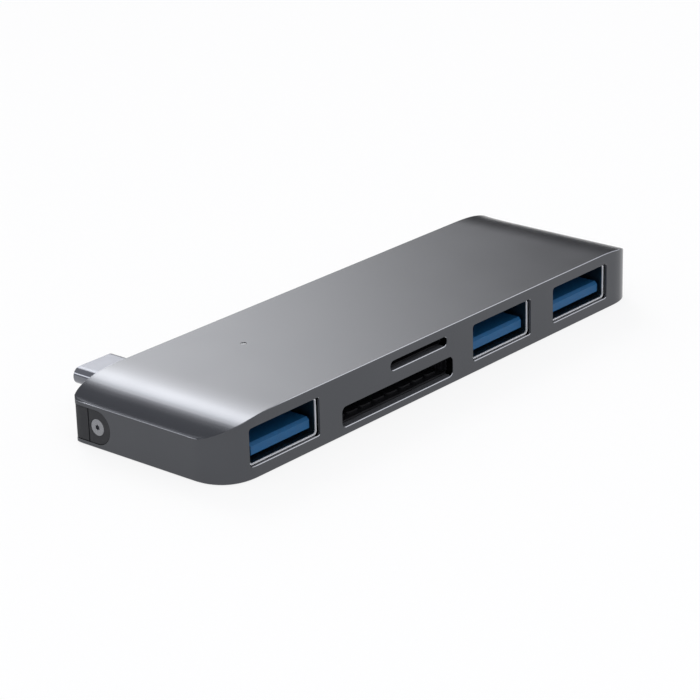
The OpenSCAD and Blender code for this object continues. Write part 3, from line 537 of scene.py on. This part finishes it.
def body_form(inset, bottom, low, high, crease, chamfer, steps):
    """The form of the body, moved inwards by inset, as a closed mesh.

    It stands from bottom to low at its ends and to high between them. Chamfer 0 leaves its edges plain."""
    front = max(FRONT_CORNER - inset, LEAST_FRONT_CORNER)
    back_x = max(BACK_CORNER_IN - inset, LEAST_BACK_CORNER)
    back_y = max(BACK_CORNER - inset, LEAST_BACK_CORNER)
    length, width = LENGTH - 2 * inset, WIDTH - 2 * inset
    ds = stations((front, back_x), crease, steps)
    xs = ds + [length - d for d in reversed(ds)]

    def top(x, y):
        lean = CAP_LEAN * min(max((width - y) / CAP_LEAN_RUN, 0), 1)
        return cap_height(min(x, length - x), low, high, crease, lean)

    def column(x, side):
        """Corners from bottom to top of the wall at x, where side is -1 in front and 1 behind."""
        d = min(x, length - x)
        back, n = corner(d, front, front) if side < 0 else corner(d, back_x, back_y)
        p = Vector((x, back if side < 0 else width - back))
        n = Vector((n.x if x < length / 2 else -n.x, -side * n.y))
        if not chamfer:
            return [(p.x, p.y, bottom), (p.x, p.y, top(*p))]
        inner = p + n * chamfer
        phi = math.atan2(top(*inner) - top(*p), chamfer)
        tangent = chamfer * (1 - math.sin(phi)) / math.cos(phi)
        foot = p + n * FOOT_CHAMFER
        rim = p + n * tangent * math.cos(phi)
        return [(foot.x, foot.y, bottom), (p.x, p.y, bottom + FOOT_CHAMFER),
                (p.x, p.y, top(*p) - tangent), (rim.x, rim.y, top(*p) + tangent * math.sin(phi))]

    bm = bmesh.new()
    columns = [[bm.verts.new(at(a + inset, b + inset, c)) for a, b, c in column(x, side)]
               for side, line in ((-1, xs), (1, xs[::-1])) for x in line]
    weave(bm, columns + columns[:1])
    bm.faces.new([col[0] for col in columns])
    origin = at(inset, inset, 0)
    rows = []
    for i in range(len(xs)):
        start, end = columns[i][-1], columns[-1 - i][-1]
        row = [start]
        for share in TOP_ROWS:
            p = start.co.lerp(end.co, share)
            place = in_mm(p, origin)
            p.z = at(0, 0, top(place.x, place.y)).z
            row.append(bm.verts.new(p))
        rows.append(row + [end])
    weave(bm, rows)
    bmesh.ops.recalc_face_normals(bm, faces=bm.faces)
    return bm


def round_loop(w, h, r, steps=6):
    """Outline of a centred rectangle with round corners, as x and z and the outward direction at each."""
    pts = []
    for cx, cz, a0 in ((1, -1, -90), (1, 1, 0), (-1, 1, 90), (-1, -1, 180)):
        for i in range(steps + 1):
            a = math.radians(a0 + 90 * i / steps)
            pts.append((cx * (w / 2 - r) + r * math.cos(a), cz * (h / 2 - r) + r * math.sin(a),
                        math.cos(a), math.sin(a)))
    return pts


def port_cutter(x, z, w, h, r):
    """Cutter for a port in the front wall, flared at its mouth and more so along its lower edge."""
    reach = 0.3
    mouth, throat, back = [], [], []
    for px, pz, nx, nz in round_loop(w, h, r):
        flare = PORT_CHAMFER + (PORT_LOWER_CHAMFER - PORT_CHAMFER) * max(-nz, 0) ** 2
        out = flare + reach
        mouth.append(at(x + px + nx * out, -reach, z + pz + nz * out))
        throat.append(at(x + px, flare, z + pz))
        back.append(at(x + px, WALL + PAST, z + pz))
    return loft([mouth, throat, back])


def end_window_cutter():
    """Cutter for the round-ended pocket in the left end."""
    r = POCKET_H / 2
    turns = [math.pi * i / POCKET_STEPS for i in range(POCKET_STEPS + 1)]
    profile = [(LOCK_Y - r * math.sin(a), LOCK_Z - r * math.cos(a)) for a in turns]
    profile += [(WIDTH + PAST, LOCK_Z + r), (WIDTH + PAST, LOCK_Z - r)]
    return loft([[at(x, y, z) for y, z in profile] for x in (-PAST, WALL + PAST)])


def corner_window_cutter():
    """Cutter for the low part of the back window, at the corner."""
    overlap = 2
    x0, x1 = -PAST, NOSE_X0 + overlap
    z0, z1 = COVER_T, COVER_T + POCKET_H
    profile = ((x0, z0), (x1, z0), (x1, z1), (x0, z1))
    return loft([[at(x, y, z) for x, z in profile] for y in (SEAM_Y, WIDTH + PAST)])


def nose_window_cutter():
    """Cutter for the high part of the back window, around the plug."""
    x, z = (NOSE_X0 + NOSE_X1) / 2, (COVER_T + NOSE_TOP) / 2
    profile = round_loop(NOSE_X1 - NOSE_X0, NOSE_TOP - COVER_T, NOSE_R, NOSE_STEPS)
    return loft([[at(x + px, y, z + pz) for px, pz, _, _ in profile] for y in (SEAM_Y, WIDTH + PAST)])


def led_cutter():
    """Cutter for the lamp hole in the roof."""
    r = LED_D / 2
    turns = [math.tau * i / LED_SIDES for i in range(LED_SIDES)]
    return loft([[at(LED_X + r * math.cos(a), LED_Y + r * math.sin(a), z) for a in turns]
                 for z in (HEIGHT - ROOF - PAST, HEIGHT + PAST)])


def edge_highlight_or_finish(place, n):
    """The material of a narrow face with a painted highlight, or of a milled sill, at a place with normal n,
    or None for any other face.
    """
    # Painted highlight: only the top chamfer on the port side is made bright, not the one at the back.
    if place.z > END_H + 0.3 and abs(n.z) > 0.3 and n.y < -0.3 and -0.5 < n.x < 0.6:
        return "lit_edge"
    # Painted highlights at the caps' feet and on the ports' upward-facing lower chamfers.
    foot_of_cap = min(place.x, LENGTH - place.x) < CREASE and abs(n.x) > 0.5 and 0.5 < n.z < 0.9
    port_edge = place.y < PORT_LOWER_CHAMFER and n.z > 0.4 and n.y < -0.4 and place.z < END_H + 0.2
    if foot_of_cap or port_edge:
        return "cut_edge_highlight"
    if n.z > 0.9 and 0 < place.y < WALL and abs(place.x - SD_X) < SD_W / 2 and place.z < END_H:
        return "milled_cut"
    return None


def highlight_and_finish_edges(obj):
    """Painted highlights in lighter metal along the top's port side, at the caps' feet and under the ports,
    and satin metal on the card sills.
    """
    names = ["grey_aluminium", "cut_edge_highlight", "milled_cut", "lit_edge"]
    for name in names[1:]:
        obj.data.materials.append(MATERIALS[name])
    for face in obj.data.polygons:
        name = edge_highlight_or_finish(in_mm(face.center), face.normal)
        if name:
            face.material_index = names.index(name)


def housing():
    """The aluminium housing with its ports, pocket and lamp hole."""
    form = body_form(0, 0, END_H, HEIGHT, CREASE, TOP_CHAMFER, SHELL_STEPS)
    obj = mesh_object("housing_shell", form, MATERIALS["grey_aluminium"])
    cutters = [body_form(WALL, -PAST, END_H - INNER_END_DROP, HEIGHT - ROOF, 0, 0, INNER_STEPS),
               body_form(RIM_W, -PAST, COVER_T, COVER_T, 0, 0, RIM_STEPS)]
    cutters += [port_cutter(x, USB_Z, USB_W, USB_H, USB_R) for x in USB_XS]
    cutters += [port_cutter(SD_X, SD_Z, SD_W, SD_H, SD_R),
                port_cutter(USD_X, USD_Z, USD_W, USD_H, USD_R),
                end_window_cutter(), corner_window_cutter(), nose_window_cutter(), led_cutter()]
    cut(obj, cutters)
    highlight_and_finish_edges(obj)
    shade(obj, SMOOTH_ANGLE)
    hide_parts("housing")
    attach(obj, "hub")


# ---- Carried-over parts ----
def dress():
    """Gives each carried-over CAD part its material."""
    for part in frame["record"]["subparts"]:
        materials = frame["nodes"][part["node"]].data.materials
        materials.clear()
        materials.append(MATERIALS[part["material_slot"]])


def ribbon():
    """The ribbon of the plug, copied from the CAD part and put in its place."""
    obj = add_object("plug_ribbon", frame["nodes"]["plug_flex"].data.copy())
    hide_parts("plug_flex")
    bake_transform(obj)


def soften(nodes, width_mm, segments, edge_material=None):
    """Breaks the sharp edges of CAD parts, and gives those edges a material of their own if one is named."""
    for node in nodes:
        obj = frame["nodes"][node]
        mod = obj.modifiers.new("edges", "BEVEL")
        mod.width = width_mm * MM
        mod.segments = segments
        mod.limit_method = "ANGLE"
        mod.angle_limit = math.radians(BROKEN_ANGLE)
        mod.harden_normals = True
        if edge_material:
            mod.material = len(obj.data.materials)
            obj.data.materials.append(MATERIALS[edge_material])


# ---- Floor and light ----
def floor():
    """Plain pale floor under the object, white to the camera and dim to the light that it gives back."""
    bm = bmesh.new()
    bmesh.ops.create_circle(bm, cap_ends=True, segments=64, radius=1.6)
    mat, tree, shader = new_material("floor")
    obj = mesh_object("floor", bm, mat)
    obj.location.z = BODY_LO.z - FLOOR_GAP
    fill(tree, shader, (*FLOOR_GREY, 1), metallic=0.0, rough=0.9)
    shader.inputs["Specular IOR Level"].default_value = 0.0
    rays = tree.nodes.new("ShaderNodeLightPath").outputs
    seen = operate(tree, "MAXIMUM", rays["Is Camera Ray"], rays["Is Glossy Ray"])
    seen = operate(tree, "MAXIMUM", seen, rays["Is Transmission Ray"])
    white = tree.nodes.new("ShaderNodeEmission")
    mix = tree.nodes.new("ShaderNodeMixShader")
    output = next(n for n in tree.nodes if n.type == "OUTPUT_MATERIAL")
    tree.links.new(operate(tree, "MULTIPLY", seen, FLOOR_WHITE), mix.inputs[0])
    tree.links.new(shader.outputs[0], mix.inputs[1])
    tree.links.new(white.outputs[0], mix.inputs[2])
    tree.links.new(mix.outputs[0], output.inputs["Surface"])


def towards(azimuth, elevation):
    """Unit vector in a direction, with azimuth 0 behind the object and 90 on its right."""
    az, el = math.radians(azimuth), math.radians(elevation)
    return Vector((math.sin(az) * math.cos(el), math.cos(az) * math.cos(el), math.sin(el)))


def softbox(name, azimuth, elevation, width, height, radiance, distance):
    """Softbox that faces the object from a direction."""
    away = towards(azimuth, elevation)
    data = bpy.data.lights.new(name, "AREA")
    data.shape = "RECTANGLE"
    data.size = width
    data.size_y = height
    data.energy = radiance * math.pi * width * height
    obj = add_object(name, data)
    obj.location = away * distance
    obj.rotation_euler = away.to_track_quat("Z", "Y").to_euler()
    obj.visible_camera = False


def patch(tree, view, azimuth, elevation, inner, outer, outside, inside):
    """Strength round a direction: inside within inner degrees of it, and outside beyond outer degrees."""
    dot = tree.nodes.new("ShaderNodeVectorMath")
    dot.operation = "DOT_PRODUCT"
    dot.inputs[1].default_value = towards(azimuth, elevation)
    tree.links.new(view, dot.inputs[0])
    start, end = (math.cos(math.radians(a)) for a in (outer, inner))
    return ramp(tree, dot.outputs["Value"], start, end, outside, inside, "SMOOTHERSTEP")


def sky(level, shaded, glows):
    """Soft studio surroundings: an even cool level with one shaded side, and white glows over it."""
    world = bpy.data.worlds.new("studio")
    bpy.context.scene.world = world
    world.use_nodes = True
    tree = world.node_tree
    view = tree.nodes.new("ShaderNodeTexCoord").outputs["Generated"]
    total = tree.nodes["Background"]
    total.inputs["Color"].default_value = (*SKY_TINT, 1)
    tree.links.new(patch(tree, view, **shaded, outside=level), total.inputs["Strength"])
    for glow in glows:
        light = tree.nodes.new("ShaderNodeBackground")
        light.inputs["Color"].default_value = (*WHITE, 1)
        tree.links.new(patch(tree, view, **glow, outside=0), light.inputs["Strength"])
        add = tree.nodes.new("ShaderNodeAddShader")
        tree.links.new(total.outputs[0], add.inputs[0])
        tree.links.new(light.outputs[0], add.inputs[1])
        total = add
    tree.links.new(total.outputs[0], tree.nodes["World Output"].inputs["Surface"])


# ---- Camera ----
CAMERA_PLACE = Vector((-0.26488, -0.22439, 0.13614))
CAMERA_AZIMUTH = 49.14
CAMERA_DIP = 21.115
CAMERA_ROLL = -1.6155
CAMERA_LENS = 130.15


def camera():
    """Camera at the viewing angle of the picture: turned right from +Y, tipped down and rolled."""
    roll = math.radians(CAMERA_ROLL)
    forward = towards(CAMERA_AZIMUTH, -CAMERA_DIP)
    level = forward.cross(Vector((0, 0, 1))).normalized()
    upright = level.cross(forward)
    right = level * math.cos(roll) + upright * math.sin(roll)
    up = upright * math.cos(roll) - level * math.sin(roll)
    data = bpy.data.cameras.new("camera")
    data.lens = CAMERA_LENS
    data.sensor_width = 36
    data.clip_start = 0.01
    data.clip_end = 10
    cam = add_object("camera", data)
    cam.matrix_world = Matrix((right, up, -forward)).transposed().to_4x4()
    cam.location = CAMERA_PLACE
    bpy.context.scene.camera = cam


# ---- Assembly ----
housing()
dress()
ribbon()
# Painted highlight: the tongues' broken edges get a lighter blue.
soften([f"usb_a_tongue_{i}" for i in (1, 2, 3)], width_mm=0.07, segments=3, edge_material="blue_edge_highlight")
soften([f"usb_a_shell_{i}" for i in (1, 2, 3)], width_mm=0.09, segments=3)
soften(["sd_socket_base", "microsd_base"], width_mm=0.06, segments=2)
soften(["plug_carrier", "lock_plate", "bottom_cover"], width_mm=0.06, segments=2)
soften(["usb_c_plug_shell"], width_mm=0.07, segments=3)
soften(["lock_screw"], width_mm=0.04, segments=2)

floor()
sky(level=0.66,
    shaded={"azimuth": 64, "elevation": 0, "inner": 5, "outer": 38, "inside": 0.1},
    glows=({"azimuth": 34, "elevation": 36, "inner": 1, "outer": 11.5, "inside": 5.0},
           {"azimuth": 33, "elevation": 31, "inner": 5, "outer": 24.4, "inside": 3.15},
           {"azimuth": -43, "elevation": 17, "inner": 1, "outer": 6, "inside": 4}))
softbox("overhead", azimuth=215, elevation=70, width=0.8, height=0.6, radiance=1.1, distance=0.8)
softbox("edge_light", azimuth=117, elevation=38, width=0.2, height=0.14, radiance=0.3, distance=0.6)
camera()
bpy.context.scene.view_settings.view_transform = "Standard"
